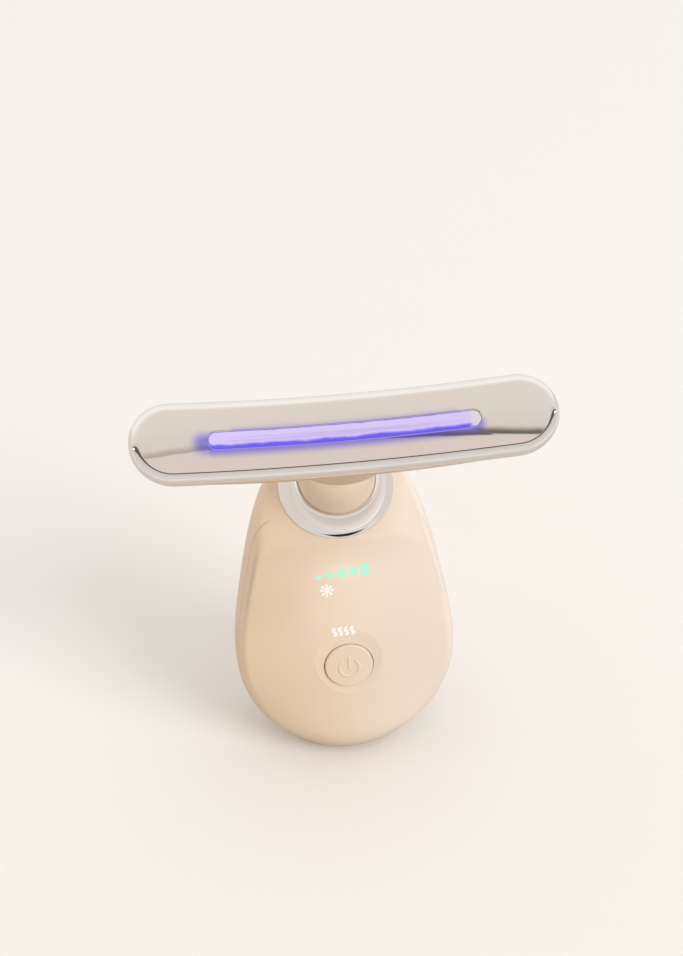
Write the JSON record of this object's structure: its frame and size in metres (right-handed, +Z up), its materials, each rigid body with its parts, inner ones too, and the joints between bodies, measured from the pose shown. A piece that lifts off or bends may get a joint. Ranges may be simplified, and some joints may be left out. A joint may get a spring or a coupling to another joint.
{
  "type": "facial toning device",
  "caption": "Hand-held facial toning device: drop-shaped standing handle with a sprung power button, leaning neck with a chrome collar and a curved chrome T head with a lit window.",
  "frame": {"origin": "in the flat foot that the device stands on, on the symmetry plane, 9.5 mm behind the foot's front edge", "axes": "+Z up, -Y the way the face with the button looks, +X to the right of a person who looks at that face"},
  "size_m": [0.093, 0.0482, 0.1165],
  "materials": {
    "shell": "satin fine-textured ABS, warm beige",
    "button_plastic": "satin ABS, warm beige",
    "chrome": "polished chrome plating",
    "light_bar": "frosted translucent polycarbonate",
    "circuit_board": "green solder mask",
    "black_epoxy": "moulded black epoxy",
    "white_plastic": "white nylon",
    "steel": "bright zinc-plated steel",
    "lamp_resin": "clear resin over a phosphor",
    "diffuser_film": "matt diffusing film",
    "battery_foil": "laminated aluminium foil",
    "foam": "closed-cell foam tape",
    "wire_jacket": "silicone wire jackets",
    "flex_circuit": "polyimide film",
    "sensor_resin": "black epoxy bead",
    "black_rubber": "soft silicone rubber",
    "motor_weight_metal": "sintered heavy alloy"
  },
  "bodies": {
    "device": {"front_shell": "shell", "rear_shell": "shell", "head_cradle": "shell", "massage_plate": "chrome", "neck_collar": "chrome", "light_window": "light_bar", "main_board": "circuit_board", "charging_board": "circuit_board", "board_components": "black_epoxy", "switch_body": "black_epoxy", "socket_tongue": "black_epoxy", "indicator_frame": "white_plastic", "battery_plug": "white_plastic", "harness_plug": "white_plastic", "board_screws": "steel", "charging_screws": "steel", "charging_socket": "steel", "neck_clip": "steel", "strip_screws": "steel", "motor_can": "steel", "indicator_leds": "lamp_resin", "light_leds": "lamp_resin", "indicator_film": "diffuser_film", "battery_cell": "battery_foil", "battery_pad": "foam", "battery_leads": "wire_jacket", "charging_leads": "wire_jacket", "head_harness": "wire_jacket", "light_strip": "flex_circuit", "heater_film": "flex_circuit", "thermistor": "sensor_resin", "head_seal": "black_rubber", "motor_boot": "black_rubber"},
    "button": {"power_button": "button_plastic", "switch_plunger": "white_plastic"},
    "rotor": {"motor_shaft": "steel", "motor_weight": "motor_weight_metal"}
  },
  "joints": [
    {"name": "button_press", "type": "slide", "parent": "device", "child": "button", "axis": [0, 0.9646, -0.2639], "range_m": [0, 0.0005], "stiffness_N_per_m": 3000, "springref_m": -0.0002},
    {"name": "motor_spin", "type": "hinge", "parent": "device", "child": "rotor", "pos_m": [0, 0.01275, 0.0717], "axis": [0, -0.4305, 0.9026], "continuous": true}
  ]
}
